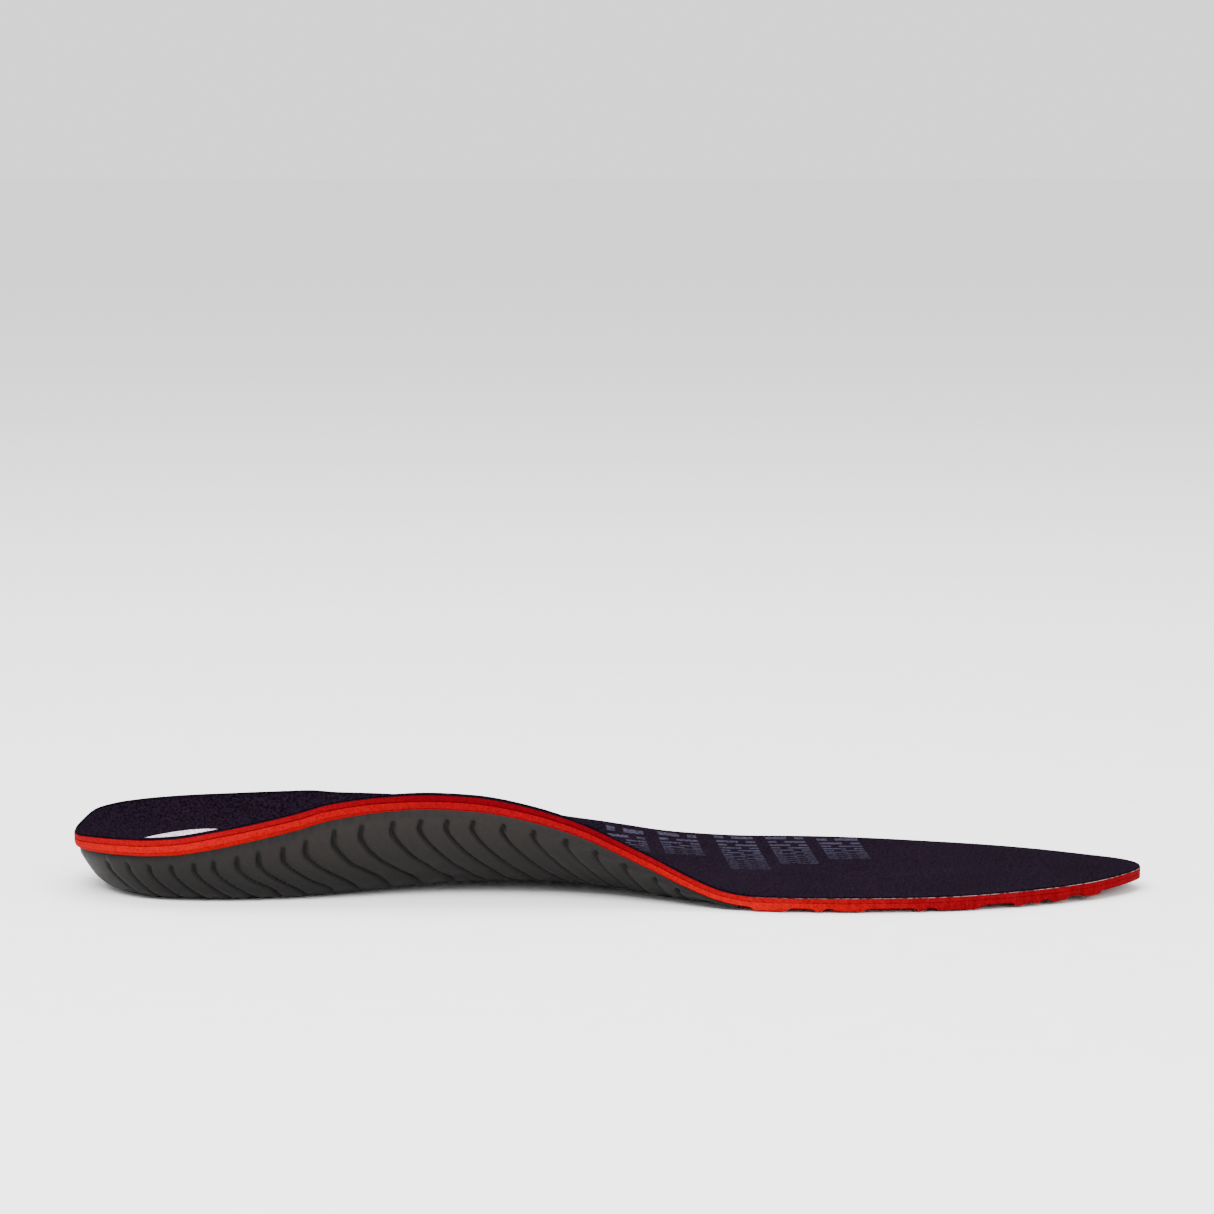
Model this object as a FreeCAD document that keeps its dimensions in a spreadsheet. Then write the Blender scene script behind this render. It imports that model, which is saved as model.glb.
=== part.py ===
"""Cushioned insole, left foot: a fabric cover over two foam plies, carried in a ribbed support cradle.

+X points to the toe, -Y to the inner (arch) side and +Z up. The origin is the middle of the bounding
box in plan, on the plane that the insole stands on. All sizes are in millimetres.
"""

import FreeCAD, Part
import math
import os

Vector = FreeCAD.Vector
doc = FreeCAD.newDocument("cushioned_insole")

# ---------------------------------------------------------------- driving dimensions
DIMENSIONS = {
    "insole_length": 285.0,
    "insole_width": 94.0,
    "cover_thick": 0.5,
    "upper_foam_thick": 1.2,
    "lower_foam_thick": 1.4,
    "tread_height": 0.9,
    "cradle_edge": 1.1,
    "blank_height": 60.0,
    "flex_line": 198.0,
    "cradle_front_radius": 120.0,
    "cradle_front_centre": 59.0,
    "cradle_front_side": -20.0,
    "hex_width": 11.0,
    "hex_channel": 2.0,
    "tread_border": 2.5,
    "edge_pad_depth": 7.0,
    "edge_pad_clear": 9.0,
    "plate_thick": 1.0,
    "plate_start": 62.0,
    "plate_length": 84.0,
    "plate_width": 46.0,
    "heel_pad_centre": 37.0,
    "heel_pad_length": 44.0,
    "heel_pad_width": 34.0,
    "heel_pad_lift": 0.5,
    "ball_pad_centre": 217.0,
    "ball_pad_length": 30.0,
    "ball_pad_width": 62.0,
    "ball_pad_thick": 0.8,
    "rib_width": 1.3,
    "rib_depth": 0.7,
    "rib_start": 1.6,
}

sheet = doc.addObject("Spreadsheet::Sheet", "Dimensions")
for row, (alias, value) in enumerate(DIMENSIONS.items(), start=1):
    sheet.set(f"A{row}", alias)
    sheet.set(f"B{row}", str(value))
    sheet.setAlias(f"B{row}", alias)
doc.recompute()


def size(alias):
    """The value of one cell of the spreadsheet."""
    return float(sheet.get(alias))


LENGTH = size("insole_length")
WIDTH = size("insole_width")

# The plan outline, as shares of the length from the heel and of the width from the middle line.
INNER_EDGE = [
    (0.000, -0.050),
    (0.016, -0.220),
    (0.058, -0.342),
    (0.130, -0.392),
    (0.245, -0.378),
    (0.400, -0.362),
    (0.560, -0.420),
    (0.640, -0.482),
    (0.720, -0.500),
    (0.825, -0.468),
    (0.925, -0.350),
    (0.982, -0.215),
    (1.000, -0.110),
]
OUTER_EDGE = [
    (0.000, -0.050),
    (0.013, 0.130),
    (0.052, 0.262),
    (0.130, 0.322),
    (0.245, 0.345),
    (0.400, 0.400),
    (0.550, 0.470),
    (0.665, 0.500),
    (0.790, 0.430),
    (0.900, 0.265),
    (0.972, 0.065),
    (1.000, -0.110),
]

# Heights above the standing plane and reaches of the side walls, by distance from the heel.
FLOOR = [(0, 9.2), (40, 8.6), (80, 8.8), (110, 8.2), (140, 6.4), (165, 4.5), (184, 3.8),
         (225, 3.8), (250, 4.2), (270, 4.8), (285, 5.7)]
INNER_RIM = [(0, 15.0), (8, 16.6), (17, 16.9), (28, 17.7), (40, 19.8), (50, 21.9), (60, 24.4),
             (71, 27.0), (82, 28.6), (95, 29.3), (108, 28.6), (120, 26.4), (135, 21.9),
             (150, 15.2), (165, 7.9), (173, 4.9), (180, 3.9), (184, 3.8), (225, 3.8),
             (250, 4.2), (270, 4.8), (285, 5.7)]
OUTER_RIM = [(0, 15.3), (3, 17.0), (7, 17.7), (14, 17.8), (33, 18.4), (60, 18.9), (80, 18.1),
             (110, 14.2), (141, 8.9), (162, 5.3), (180, 3.9), (184, 3.8), (225, 3.8),
             (250, 4.2), (270, 4.8), (285, 5.7)]
INNER_REACH = [(0, 20), (30, 21), (60, 28), (95, 38), (130, 38), (165, 25), (285, 20)]
OUTER_REACH = [(0, 20), (110, 20), (150, 18), (285, 18)]
INNER_POWER = [(0, 2.2), (30, 2.2), (80, 1.7), (140, 1.7), (170, 2.0), (285, 2.0)]
OUTER_POWER = [(0, 2.2), (285, 2.2)]
INNER_INSET = [(0, 9.5), (20, 7.0), (45, 6.5), (62, 9.0), (80, 14.0), (95, 18.0), (125, 20.0),
               (150, 13.0), (170, 7.0), (285, 6.0)]
OUTER_INSET = [(0, 9.5), (60, 9.0), (110, 10), (150, 8), (285, 6)]
ARCH_LIFT = [(0, 0.0), (60, 0.0), (85, 0.8), (112, 2.3), (140, 1.8), (160, 0.5), (178, 0.35),
             (285, 0.35)]
HULL_POWER = 1.5
# Largest vertical thickness of a layer on a slope, as a share of its thickness on the flat.
STEEPEST = 1.35
# Depth of the undersides below the standing plane before they are trimmed flat on it.
TRIM = 0.15

# Pads along both edges of the forefoot: where each starts and ends, from the heel.
EDGE_PADS = [(179.8, 188.9), (196.7, 199.4), (201.9, 209.2), (222.6, 226.2), (228.8, 239.8), (249.0, 252.3),
             (253.5, 256.0), (259.5, 263.6), (268.0, 272.2)]

# Grooves in the cradle's side walls: where each starts under the rim, from the heel.
INNER_RIBS = [9.2, 15.2, 21.3, 27.5, 33.6, 38.8, 44.9, 50.5, 56.9, 62.8, 70.3, 77.4, 85.6, 92.8,
              99.7, 106.5, 114.4, 122.3, 130.7, 138.4, 146.0, 153.9]
OUTER_RIBS = INNER_RIBS[:17]
RIB_SWEEP = [(0, 6.0), (30, 7.5), (43, 11.5), (62, 16.0), (85, 18.5), (114, 18.5), (131, 15.7),
             (146, 6.0), (160, 4.0)]


def along(stations, x):
    """A smooth curve through (distance, value) stations, level beyond both ends."""
    if x <= stations[0][0]:
        return stations[0][1]
    if x >= stations[-1][0]:
        return stations[-1][1]
    i = max(k for k in range(len(stations) - 1) if stations[k][0] <= x)
    x0, v0 = stations[i]
    x1, v1 = stations[i + 1]
    step = x1 - x0

    def slope(k):
        if k <= 0 or k >= len(stations) - 1:
            return 0.0
        before = (stations[k][1] - stations[k - 1][1]) / (stations[k][0] - stations[k - 1][0])
        after = (stations[k + 1][1] - stations[k][1]) / (stations[k + 1][0] - stations[k][0])
        if before * after <= 0:
            return 0.0
        return 2 * before * after / (before + after)

    t = (x - x0) / step
    a, b = slope(i) * step, slope(i + 1) * step
    return (
        v0 * (2 * t**3 - 3 * t**2 + 1)
        + a * (t**3 - 2 * t**2 + t)
        + v1 * (3 * t**2 - 2 * t**3)
        + b * (t**3 - t**2)
    )


# ---------------------------------------------------------------- plan outline
def plan_points(edge):
    return [Vector(x * LENGTH, y * WIDTH, 0) for x, y in edge]


def outline_curve():
    """One closed spline: heel, inner edge, toe, outer edge and back to the heel."""
    ring = plan_points(INNER_EDGE) + plan_points(OUTER_EDGE)[-2:0:-1]
    curve = Part.BSplineCurve()
    curve.interpolate(Points=ring, PeriodicFlag=True)
    return curve


OUTLINE = outline_curve()
SAMPLES = 480


def sampled_edges():
    """The outline as two lists of points, the inner and the outer edge, split at heel and toe."""
    first, last = OUTLINE.FirstParameter, OUTLINE.LastParameter
    ring = [OUTLINE.value(first + (last - first) * k / SAMPLES) for k in range(SAMPLES)]
    heel = min(range(SAMPLES), key=lambda k: ring[k].x)
    ring = ring[heel:] + ring[:heel]
    toe = max(range(SAMPLES), key=lambda k: ring[k].x)
    return ring[: toe + 1], ring[toe:] + ring[:1]


INNER_POINTS, OUTER_POINTS = sampled_edges()
RING = INNER_POINTS + OUTER_POINTS[1:-1]


def inside(x, y):
    """Whether a plan point lies within the outline."""
    odd = False
    for a, b in zip(RING, RING[1:] + RING[:1]):
        if (a.y > y) != (b.y > y) and x < a.x + (y - a.y) * (b.x - a.x) / (b.y - a.y):
            odd = not odd
    return odd


def nearest(points, x, y):
    """Distance from a plan point to an edge, and how far from the heel the nearest point is."""
    best = min(points, key=lambda p: (p.x - x) ** 2 + (p.y - y) ** 2)
    return math.hypot(best.x - x, best.y - y), best.x


# ---------------------------------------------------------------- height fields
MARGIN = 9.0
GRID_STEP = 4.0
COLUMNS = [
    -MARGIN + k * (LENGTH + 2 * MARGIN) / round((LENGTH + 2 * MARGIN) / GRID_STEP)
    for k in range(round((LENGTH + 2 * MARGIN) / GRID_STEP) + 1)
]
ROWS = [
    -WIDTH / 2 - MARGIN + k * (WIDTH + 2 * MARGIN) / round((WIDTH + 2 * MARGIN) / GRID_STEP)
    for k in range(round((WIDTH + 2 * MARGIN) / GRID_STEP) + 1)
]


def edge_distances(x, y):
    """Signed distances in from the inner and outer edge, each with its station from the heel."""
    inner, inner_x = nearest(INNER_POINTS, x, y)
    outer, outer_x = nearest(OUTER_POINTS, x, y)
    if not inside(x, y):
        if inner <= outer:
            inner = -inner
        else:
            outer = -outer
    return inner, inner_x, outer, outer_x


DISTANCES = [[edge_distances(x, y) for y in ROWS] for x in COLUMNS]


def wall(distance, reach, power):
    """Share of a side wall's height at a distance in from the edge."""
    return max(0.0, 1 - distance / reach) ** power


def foot_height(x, distances):
    """Height of the surface that the foot rests on."""
    inner, inner_x, outer, outer_x = distances
    floor = along(FLOOR, x)
    rise_in = along(INNER_RIM, inner_x) - along(FLOOR, inner_x)
    rise_out = along(OUTER_RIM, outer_x) - along(FLOOR, outer_x)
    return floor + max(
        rise_in * wall(inner, along(INNER_REACH, inner_x), along(INNER_POWER, inner_x)),
        rise_out * wall(outer, along(OUTER_REACH, outer_x), along(OUTER_POWER, outer_x)),
    )


def softened(heights):
    """The same heights with each one averaged a little with its neighbours."""
    last_i, last_j = len(COLUMNS) - 1, len(ROWS) - 1
    across = [
        [(c[max(j - 1, 0)] + 4 * c[j] + c[min(j + 1, last_j)]) / 6 for j in range(last_j + 1)]
        for c in heights
    ]
    return [
        [
            (across[max(i - 1, 0)][j] + 4 * across[i][j] + across[min(i + 1, last_i)][j]) / 6
            for j in range(last_j + 1)
        ]
        for i in range(last_i + 1)
    ]


FOOT = softened(
    [[foot_height(x, d) for d in column] for x, column in zip(COLUMNS, DISTANCES)]
)


def steepness(heights, i, j):
    """Vertical thickness of a sheet of unit thickness laid along a height field."""
    i0, i1 = max(i - 1, 0), min(i + 1, len(COLUMNS) - 1)
    j0, j1 = max(j - 1, 0), min(j + 1, len(ROWS) - 1)
    slope_x = (heights[i1][j] - heights[i0][j]) / (COLUMNS[i1] - COLUMNS[i0])
    slope_y = (heights[i][j1] - heights[i][j0]) / (ROWS[j1] - ROWS[j0])
    return min(math.sqrt(1 + slope_x**2 + slope_y**2), STEEPEST)


def offset_field(heights, rise):
    """Heights of a surface that lies a distance above another, measured square to it."""
    return [
        [heights[i][j] + rise * steepness(heights, i, j) for j in range(len(ROWS))]
        for i in range(len(COLUMNS))
    ]


def sunk(depth):
    """Heights of a surface that lies a depth under the foot surface."""
    return offset_field(FOOT, -depth)


def hull_heights():
    """Underside of the cradle: flat under the foot, with walls that flare out to the rim."""
    heights = []
    for i, x in enumerate(COLUMNS):
        column = []
        for j in range(len(ROWS)):
            inner, inner_x, outer, outer_x = DISTANCES[i][j]
            top_in = along(INNER_RIM, inner_x) - STACK * rim_steepness(inner_x, True)
            top_out = along(OUTER_RIM, outer_x) - STACK * rim_steepness(outer_x, False)
            edge = size("cradle_edge")
            lift = along(ARCH_LIFT, x) - TRIM
            column.append(
                lift
                + max(
                    (top_in - edge - lift) * wall(inner, along(INNER_INSET, inner_x), HULL_POWER),
                    (top_out - edge - lift) * wall(outer, along(OUTER_INSET, outer_x), HULL_POWER),
                )
            )
        heights.append(column)
    return heights


def rim_steepness(x, inner_side):
    """The sheet steepness at the rim, from the wall's own slope there."""
    rim = INNER_RIM if inner_side else OUTER_RIM
    reach = INNER_REACH if inner_side else OUTER_REACH
    power = INNER_POWER if inner_side else OUTER_POWER
    rise = along(rim, x) - along(FLOOR, x)
    return min(math.hypot(1, rise * along(power, x) / along(reach, x)), STEEPEST)


COVER = size("cover_thick")
UPPER = COVER + size("upper_foam_thick")
STACK = UPPER + size("lower_foam_thick")


ROW_FRAME = FreeCAD.Placement(Vector(-LENGTH / 2, 0, 0), FreeCAD.Rotation())


def surface(heights):
    """A B-spline surface through a grid of heights."""
    patch = Part.BSplineSurface()
    patch.interpolate(
        [[Vector(x, y, z) for y, z in zip(ROWS, column)] for x, column in zip(COLUMNS, heights)]
    )
    return patch


def feature(name, shape):
    """A document object that holds a free shape drawn in the heel's frame, placed in the row frame."""
    obj = doc.addObject("Part::Feature", name)
    obj.Shape = shape
    obj.Placement = ROW_FRAME
    return obj


def slab(name, top, bottom):
    """The closed solid between two height fields that don't cross."""
    upper, lower = surface(top).toShape(), surface(bottom).toShape()
    sides = []
    for high in upper.Edges:
        middle = high.CenterOfMass
        low = min(
            lower.Edges,
            key=lambda e: math.hypot(e.CenterOfMass.x - middle.x, e.CenterOfMass.y - middle.y),
        )
        sides.append(Part.makeRuledSurface(high, low))
    shell = Part.makeShell([upper, lower] + sides)
    shell.sewShape()
    solid = Part.Solid(shell)
    if solid.Volume < 0:
        solid.reverse()
    return feature(name, solid)


def below(name, heights):
    """Everything under a height field, down to a plane well below the insole."""
    deep = [[-30.0 for _ in column] for column in heights]
    return slab(name, heights, deep)


F0 = FOOT
F1 = sunk(COVER)
F2 = sunk(UPPER)
F3 = sunk(STACK)
F4 = sunk(STACK + size("tread_height"))
HULL = softened(hull_heights())
GROOVED = offset_field(HULL, size("rib_depth"))


def bind(obj, **cells):
    """Ties an object's properties to expressions on the sheet."""
    for name, expression in cells.items():
        obj.setExpression(name.replace("_", "."), expression)
    return obj


def common(name, a, b):
    obj = doc.addObject("Part::Common", name)
    obj.Base, obj.Tool = a, b
    return obj


def cut(name, a, b):
    obj = doc.addObject("Part::Cut", name)
    obj.Base, obj.Tool = a, b
    return obj


def prism(name, faces):
    """Plan faces extruded through the whole height of the insole."""
    flat = feature(name + "_plan", Part.makeCompound(faces) if len(faces) > 1 else faces[0])
    obj = doc.addObject("Part::Extrusion", name)
    obj.Base = flat
    obj.DirMode = "Custom"
    obj.Dir = Vector(0, 0, 1)
    obj.Solid = True
    return bind(obj, LengthFwd="Dimensions.blank_height")


BASE_LEVEL = -10.0


def plan_face(wire):
    wire.translate(Vector(0, 0, BASE_LEVEL))
    return Part.Face(wire)


def closed(points):
    return Part.makePolygon(points + points[:1])


def oval(x, y, length, width):
    """A plan ellipse in the heel's frame, longest along whichever size is larger."""
    if length >= width:
        ring = Part.Ellipse(Vector(x, y, 0), length / 2, width / 2)
        return Part.Wire(ring.toShape())
    ring = Part.Ellipse(Vector(0, 0, 0), width / 2, length / 2).toShape()
    ring.rotate(Vector(0, 0, 0), Vector(0, 0, 1), 90)
    ring.translate(Vector(x, y, 0))
    return Part.Wire(ring)


# ---------------------------------------------------------------- blanks
outline_blank = prism("outline_blank", [plan_face(Part.Wire(OUTLINE.toShape()))])

rear_box = doc.addObject("Part::Box", "rear_box")
bind(
    rear_box,
    Length="Dimensions.flex_line + 50",
    Width="Dimensions.insole_width + 50",
    Height="Dimensions.blank_height + 20",
    Placement_Base_x="-Dimensions.insole_length / 2 - 50",
    Placement_Base_y="-Dimensions.insole_width / 2 - 25",
)
rear_box.Placement.Base.z = -20
rear_blank = common("rear_blank", outline_blank, rear_box)
front_blank = cut("front_blank", outline_blank, rear_box)

cradle_round = doc.addObject("Part::Cylinder", "cradle_round")
bind(
    cradle_round,
    Radius="Dimensions.cradle_front_radius",
    Height="Dimensions.blank_height + 20",
    Placement_Base_x="Dimensions.cradle_front_centre - Dimensions.insole_length / 2",
    Placement_Base_y="Dimensions.cradle_front_side",
)
cradle_round.Placement.Base.z = -20
cradle_blank = common("cradle_blank", rear_blank, cradle_round)

ground = doc.addObject("Part::Box", "ground")
bind(
    ground,
    Length="Dimensions.insole_length + 50",
    Width="Dimensions.insole_width + 50",
    Height="Dimensions.blank_height",
    Placement_Base_x="-Dimensions.insole_length / 2 - 25",
    Placement_Base_y="-Dimensions.insole_width / 2 - 25",
    Placement_Base_z="-Dimensions.blank_height",
)


# ---------------------------------------------------------------- tread pads under the forefoot
def edge_point(points, x, inset):
    """The plan point a distance in from an edge, square to it, at a station from the heel."""
    k = min(range(1, len(points) - 1), key=lambda n: abs(points[n].x - x))
    direction = points[k + 1] - points[k - 1]
    direction.normalize()
    return points[k] + Vector(-direction.y, direction.x, 0) * inset


def edge_pad(points, start, end):
    """A pad that follows an edge, drawn past it so that the outline trims it."""
    stations = [start + (end - start) * k / 4 for k in range(5)]
    depth = size("edge_pad_depth")
    outer_side = [edge_point(points, x, -4.0) for x in stations]
    inner_side = [edge_point(points, x, depth) for x in reversed(stations)]
    return plan_face(closed(outer_side + inner_side))


def hexagon(x, y, width):
    radius = width / math.sqrt(3)
    return [
        Vector(x + radius * math.cos(math.pi / 3 * k), y + radius * math.sin(math.pi / 3 * k), 0)
        for k in range(6)
    ]


def on_forefoot(point):
    """Whether a plan point is inside the ring of edge pads and past the cradle's front edge."""
    reach = size("cradle_front_radius") + size("tread_border")
    past = math.hypot(point.x - size("cradle_front_centre"), point.y - size("cradle_front_side"))
    if past < reach or not inside(point.x, point.y):
        return False
    return nearest(RING, point.x, point.y)[0] > size("edge_pad_clear")


def tread_hexagons():
    """Staggered hexagons from the cradle's front edge to the toe."""
    pitch = size("hex_width") + size("hex_channel")
    column_step = pitch * math.sqrt(3) / 2
    faces = []
    column = 0
    x = size("flex_line") - 2.5 * column_step
    while x < LENGTH:
        y = -WIDTH / 2 + (pitch / 2 if column % 2 else 0.0)
        while y < WIDTH / 2:
            corners = hexagon(x, y, size("hex_width"))
            if sum(on_forefoot(corner) for corner in corners) > 2:
                faces.append(plan_face(closed(corners)))
            y += pitch
        x += column_step
        column += 1
    return faces


def ring_inset(distance):
    """The outline moved in by a distance, as a closed plan polygon."""
    count = len(RING)
    points = []
    for k in range(0, count, 4):
        direction = RING[(k + 2) % count] - RING[(k - 2) % count]
        direction.normalize()
        points.append(RING[k] + Vector(-direction.y, direction.x, 0) * distance)
    return closed(points)


edge_pads = [edge_pad(INNER_POINTS, *pad) for pad in EDGE_PADS]
edge_pads += [edge_pad(OUTER_POINTS, *reversed(pad)) for pad in EDGE_PADS]
border_round = doc.addObject("Part::Cylinder", "border_round")
bind(
    border_round,
    Radius="Dimensions.cradle_front_radius + Dimensions.tread_border",
    Height="Dimensions.blank_height + 20",
    Placement_Base_x="Dimensions.cradle_front_centre - Dimensions.insole_length / 2",
    Placement_Base_y="Dimensions.cradle_front_side",
)
border_round.Placement.Base.z = -20
middle_blank = prism("middle_blank", [plan_face(ring_inset(size("edge_pad_clear")))])
middle_pads = common("middle_pads", prism("hexagon_blank", tread_hexagons()), middle_blank)
rim_pads = prism("edge_pad_blank", edge_pads)

# ---------------------------------------------------------------- the sheets
cover_slab = slab("cover_slab", F0, F1)
upper_slab = slab("upper_slab", F1, F2)
lower_whole = common("lower_whole", slab("lower_slab", F2, F4), outline_blank)
under_foam = below("under_foam", F3)
between_pads = cut("between_pads", cut("between_middle", outline_blank, middle_pads), rim_pads)
behind_pads = common("behind_pads", outline_blank, border_round)
channels = doc.addObject("Part::Fuse", "channels")
channels.Base, channels.Tool = between_pads, behind_pads
recess = common("recess", under_foam, channels)
lower_ply = cut("lower_ply", cut("lower_channelled", lower_whole, recess), ground)
NODES = {
    "top_cover_rear": common("top_cover_rear", cover_slab, rear_blank),
    "top_cover_front": common("top_cover_front", cover_slab, front_blank),
    "upper_foam_rear": common("upper_foam_rear", upper_slab, rear_blank),
    "upper_foam_front": common("upper_foam_front", upper_slab, front_blank),
    "lower_foam_rear": common("lower_foam_rear", lower_ply, rear_blank),
}
lower_front = common("lower_front", lower_ply, front_blank)


# ---------------------------------------------------------------- the cradle
def rib_band(points, start):
    """A groove in plan: square to the rim at its top, then sweeping towards the toe."""
    inset = along(INNER_INSET if points is INNER_POINTS else OUTER_INSET, start)
    first, half = size("rib_start"), size("rib_width") / 2
    sweep = along(RIB_SWEEP, start)
    middle = []
    for k in range(13):
        share = k / 12
        middle.append(edge_point(points, start + sweep * share**1.4, first + (inset - first) * share))
    left, right = [], []
    for k, point in enumerate(middle):
        direction = middle[min(k + 1, 12)] - middle[max(k - 1, 0)]
        direction.normalize()
        square = Vector(-direction.y, direction.x, 0) * half
        left.append(point + square)
        right.append(point - square)
    return plan_face(closed(left + right[::-1]))


bands = [rib_band(INNER_POINTS, start) for start in INNER_RIBS]
bands += [rib_band(OUTER_POINTS, start) for start in OUTER_RIBS]
rib_cutter = common("rib_cutter", below("under_grooves", GROOVED), prism("rib_blank", bands))
cradle_stock = common("cradle_stock", under_foam, cradle_blank)
cradle_hull = cut("cradle_hull", cradle_stock, below("under_hull", HULL))
cradle_ribbed = cut("cradle_ribbed", cradle_hull, rib_cutter)
cradle_flat = cut("cradle_flat", cradle_ribbed, ground)

# ---------------------------------------------------------------- pads and plate inside
plate_blank = prism("plate_blank", [plan_face(oval(
    size("plate_start") + size("plate_length") / 2, -4.0, size("plate_length"), size("plate_width")
))])
plate_slab = slab("plate_slab", F3, sunk(STACK + size("plate_thick")))
NODES["arch_plate"] = common("arch_plate", plate_slab, plate_blank)

HEEL_MIDDLE = -3.0
heel_pad_blank = prism("heel_pad_blank", [plan_face(oval(
    size("heel_pad_centre"), HEEL_MIDDLE, size("heel_pad_length"), size("heel_pad_width")
))])
heel_pad_floor = doc.addObject("Part::Box", "heel_pad_floor")
bind(
    heel_pad_floor,
    Length="Dimensions.insole_length",
    Width="Dimensions.insole_width",
    Height="Dimensions.heel_pad_lift + 30",
    Placement_Base_x="-Dimensions.insole_length / 2",
    Placement_Base_y="-Dimensions.insole_width / 2",
)
heel_pad_floor.Placement.Base.z = -30
heel_pad_stock = common("heel_pad_stock", under_foam, heel_pad_blank)
NODES["heel_gel_pad"] = cut("heel_gel_pad", heel_pad_stock, heel_pad_floor)

ball_pad_blank = prism("ball_pad_blank", [plan_face(oval(
    size("ball_pad_centre"), 0.0, size("ball_pad_length"), size("ball_pad_width")
))])
ball_pad_slab = slab("ball_pad_slab", F2, sunk(UPPER + size("ball_pad_thick")))
NODES["ball_gel_pad"] = common("ball_gel_pad", ball_pad_slab, ball_pad_blank)

# ---------------------------------------------------------------- room for the inner pieces
NODES["lower_foam_front"] = cut("lower_foam_front", lower_front, NODES["ball_gel_pad"])
cradle_with_slot = cut("cradle_with_slot", cradle_flat, NODES["arch_plate"])
NODES["support_cradle"] = cut("support_cradle", cradle_with_slot, heel_pad_blank)


def check_and_export():
    """Recomputes the document, refuses a failed object and writes one STEP file per node."""
    doc.recompute()
    failed = [o.Name for o in doc.Objects if {"Invalid", "Error"} & set(o.State)]
    if failed:
        raise RuntimeError(f"objects that failed: {failed}")
    os.makedirs("parts", exist_ok=True)
    for name, obj in NODES.items():
        obj.Label = name
        shape = obj.Shape
        if shape.isNull() or not shape.isValid() or not shape.Solids:
            raise RuntimeError(f"{name} is not a valid solid")
        shape.exportStep(f"parts/{name}.step")
        box = shape.BoundBox
        print(
            f"{name}: {len(shape.Solids)} solids, {shape.Volume:.0f} mm3, "
            f"x {box.XMin:.1f}..{box.XMax:.1f}, y {box.YMin:.1f}..{box.YMax:.1f}, "
            f"z {box.ZMin:.2f}..{box.ZMax:.2f}"
        )


check_and_export()
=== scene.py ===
"""Cushioned insole, left foot: knit cover, two foam plies and a ribbed cradle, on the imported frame.

+X points to the toe, -Y to the inner (arch) side and +Z up. Plan sizes given in mm are distances in
from the edge, or stations: distances from the heel.
"""
import math
import bmesh
import bpy
import numpy as np
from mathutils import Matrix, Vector
from mathutils.bvhtree import BVHTree


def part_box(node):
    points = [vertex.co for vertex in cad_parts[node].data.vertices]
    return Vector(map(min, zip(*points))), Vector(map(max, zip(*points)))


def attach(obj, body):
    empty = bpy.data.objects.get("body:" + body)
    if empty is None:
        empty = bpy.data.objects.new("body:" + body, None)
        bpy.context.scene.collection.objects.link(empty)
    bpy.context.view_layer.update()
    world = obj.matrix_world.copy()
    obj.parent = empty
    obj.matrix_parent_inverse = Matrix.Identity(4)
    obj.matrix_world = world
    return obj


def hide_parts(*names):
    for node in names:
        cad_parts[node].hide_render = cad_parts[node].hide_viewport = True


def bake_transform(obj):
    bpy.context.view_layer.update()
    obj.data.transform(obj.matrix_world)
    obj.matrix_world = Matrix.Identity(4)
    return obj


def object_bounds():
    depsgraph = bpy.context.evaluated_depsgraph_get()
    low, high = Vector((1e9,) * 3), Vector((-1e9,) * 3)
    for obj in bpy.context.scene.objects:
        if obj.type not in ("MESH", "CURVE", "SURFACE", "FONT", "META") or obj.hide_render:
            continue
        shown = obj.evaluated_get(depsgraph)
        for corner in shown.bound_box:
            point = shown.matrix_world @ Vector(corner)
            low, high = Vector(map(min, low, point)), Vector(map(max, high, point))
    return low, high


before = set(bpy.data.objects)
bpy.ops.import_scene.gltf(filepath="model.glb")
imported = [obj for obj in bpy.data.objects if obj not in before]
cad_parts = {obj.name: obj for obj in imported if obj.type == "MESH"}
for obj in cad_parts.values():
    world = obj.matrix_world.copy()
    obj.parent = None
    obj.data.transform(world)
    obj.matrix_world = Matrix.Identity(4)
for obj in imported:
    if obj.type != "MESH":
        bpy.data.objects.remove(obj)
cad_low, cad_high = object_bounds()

MM = 0.001
REAR, FRONT = "rearfoot", "forefoot"

# ---------------------------------------------------------------- camera and light
# The camera's place round the insole's middle, and how far it looks up from there.
CAMERA_RISE = math.radians(9.9)
CAMERA_TILT = math.radians(2.51)
CAMERA_DISTANCE = 1.40
CAMERA_MIDDLE = Vector((0.0, 0.0, 0.012))
CAMERA_LENS, CAMERA_SENSOR, CAMERA_NEAR = 154.4, 36.0, 0.05
# Each area light: name, place, power and size.
LIGHTS = [
    ("key", (-0.35, -0.75, 1.0), 28.0, (0.9, 0.6)),
    ("fill", (0.75, -0.8, 0.5), 10.0, (0.8, 0.6)),
    ("top", (0.0, 0.35, 1.1), 16.0, (1.2, 0.8)),
]
LIGHT_TARGET = (0, 0, 0.01)
WORLD_STRENGTH = 1.5


def look_at(obj, target):
    """Turns an object so that its -Z axis points at a target."""
    obj.rotation_euler = (Vector(target) - obj.location).to_track_quat("-Z", "Y").to_euler()


def make_camera():
    """The camera, low on the inner side and aimed above the insole."""
    data = bpy.data.cameras.new("camera")
    data.lens = CAMERA_LENS
    data.sensor_width = CAMERA_SENSOR
    data.clip_start = CAMERA_NEAR
    camera = bpy.data.objects.new("camera", data)
    bpy.context.scene.collection.objects.link(camera)
    way = Vector((0, -math.cos(CAMERA_RISE), math.sin(CAMERA_RISE)))
    camera.location = CAMERA_MIDDLE + CAMERA_DISTANCE * way
    camera.rotation_euler = (math.pi / 2 - CAMERA_RISE + CAMERA_TILT, 0, 0)
    bpy.context.scene.camera = camera


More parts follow.
